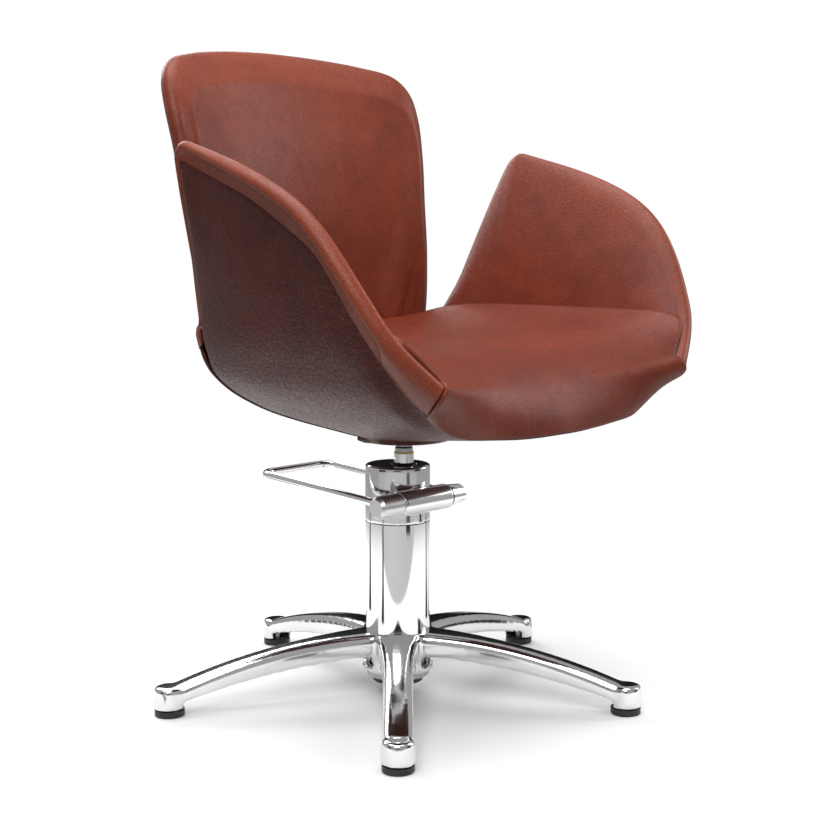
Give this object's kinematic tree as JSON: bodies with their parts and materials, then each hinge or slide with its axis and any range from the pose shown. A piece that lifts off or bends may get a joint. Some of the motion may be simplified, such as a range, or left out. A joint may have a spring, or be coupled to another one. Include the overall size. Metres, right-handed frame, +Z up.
{
  "type": "styling chair",
  "caption": "Hydraulic styling chair: leather tulip shell with open notches between back and arms, foot pedal pump, column and star base with glides.",
  "frame": {"origin": "on the floor under the middle of the chair", "axes": "+Z up, the chair faces -Y, +X to the sitter's left"},
  "size_m": [0.5986, 0.5811, 0.8],
  "materials": {
    "cast_alloy": "polished die casting",
    "glide": "matt black",
    "fasteners": "zinc plated",
    "black_parts": "matt black",
    "chrome": "polished chrome",
    "satin": "satin",
    "pump_steel": "turned steel",
    "bronze": "turned bronze",
    "plate_steel": "black paint",
    "moulded_shell": "laminated beech",
    "inner_leather": "smooth fine grain",
    "rim_leather": "smooth fine grain",
    "outer_leather": "pebbled grain"
  },
  "bodies": {
    "base": {"star_base": "cast_alloy", "foot_glide_1": "glide", "foot_glide_2": "glide", "foot_glide_3": "glide", "foot_glide_4": "glide", "foot_glide_5": "glide", "glide_studs": "fasteners", "pump_bottom_cap": "black_parts", "hub_nut": "fasteners", "column_tube": "chrome", "reservoir_tube": "pump_steel", "cylinder_tube": "pump_steel", "valve_block": "pump_steel", "valve_balls": "pump_steel", "pump_head": "chrome", "guide_bush": "bronze", "rod_seal": "black_parts", "rod_wiper": "black_parts", "filler_screw": "fasteners", "shaft_bushes": "bronze", "shaft_ring": "black_parts", "plunger_spring": "pump_steel"},
    "pedal": {"cross_shaft": "pump_steel", "pump_lever": "pump_steel", "lever_pin": "fasteners", "pedal_loop": "chrome", "pedal_hub": "chrome", "pedal_knob": "satin", "hub_screws": "fasteners"},
    "plunger": {"pump_plunger": "pump_steel"},
    "ram": {"ram": "pump_steel", "piston": "pump_steel", "piston_seal": "black_parts", "spindle_bush": "bronze", "thrust_washer": "bronze"},
    "seat": {"spindle": "pump_steel", "taper_socket": "pump_steel", "seat_plate": "plate_steel", "plate_bolts": "fasteners", "tee_nuts": "fasteners", "rod_collar": "black_parts", "shell_core": "moulded_shell", "seat_cushion": "inner_leather", "seat_front": "inner_leather", "arm_pad_left": "inner_leather", "arm_pad_right": "inner_leather", "arm_rim_left": "rim_leather", "arm_rim_right": "rim_leather", "outer_cover_left": "outer_leather", "outer_cover_right": "outer_leather", "back_pad": "inner_leather", "back_cover": "outer_leather", "back_rim": "rim_leather"}
  },
  "joints": [
    {"name": "lift", "type": "slide", "parent": "base", "child": "ram", "axis": [0, 0, 1], "range_m": [0, 0.14]},
    {"name": "swivel", "type": "hinge", "parent": "ram", "child": "seat", "pos_m": [0, -0.025, 0.307], "axis": [0, 0, 1], "continuous": true},
    {"name": "pedal_press", "type": "hinge", "parent": "base", "child": "pedal", "pos_m": [0, -0.064, 0.252], "axis": [1, 0, 0], "range_deg": [-25, 10], "stiffness_Nm_per_rad": 20, "springref_deg": 1.72},
    {"name": "plunger_slide", "type": "slide", "parent": "base", "child": "plunger", "axis": [0, 0, 1], "range_m": [-0.0066, 0.0028], "deforming": ["plunger_spring"]}
  ],
  "couplings": [
    {"joint": "plunger_slide", "follows": "pedal_press", "m_per_rad": 0.0145}
  ]
}
